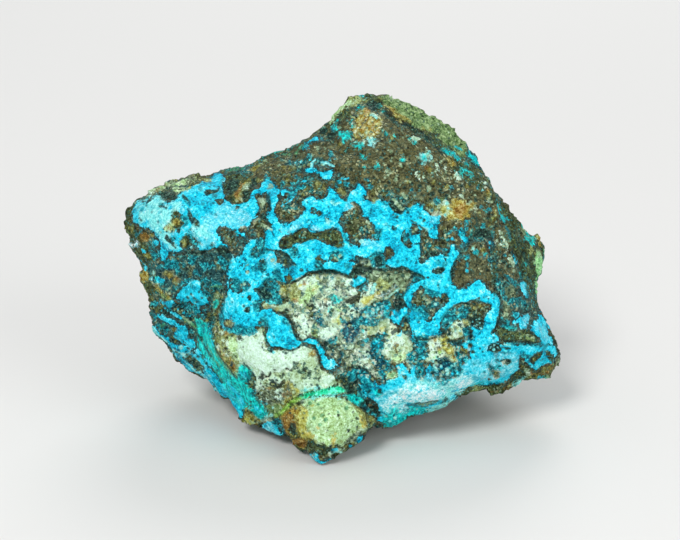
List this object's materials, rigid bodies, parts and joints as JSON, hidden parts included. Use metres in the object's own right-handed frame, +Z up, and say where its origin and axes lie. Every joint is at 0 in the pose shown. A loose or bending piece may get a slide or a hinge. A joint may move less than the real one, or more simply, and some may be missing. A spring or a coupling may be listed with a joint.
{
  "type": "brochantite specimen",
  "caption": "Hand specimen of copper ore: a broken wedge of dark matrix crusted with turquoise, cyan and green copper minerals, resting on a front knob and a back facet.",
  "frame": {"origin": "centre of the bounding box, on the surface the stone rests on", "axes": "+X to the right along the stone's longest way, as its display face is looked at; +Y from the display face to the back; +Z up"},
  "size_m": [0.076, 0.0578, 0.0529],
  "materials": {
    "copper_ore": "rough"
  },
  "bodies": {
    "root": {"brochantite_specimen": "copper_ore"}
  },
  "joints": []
}
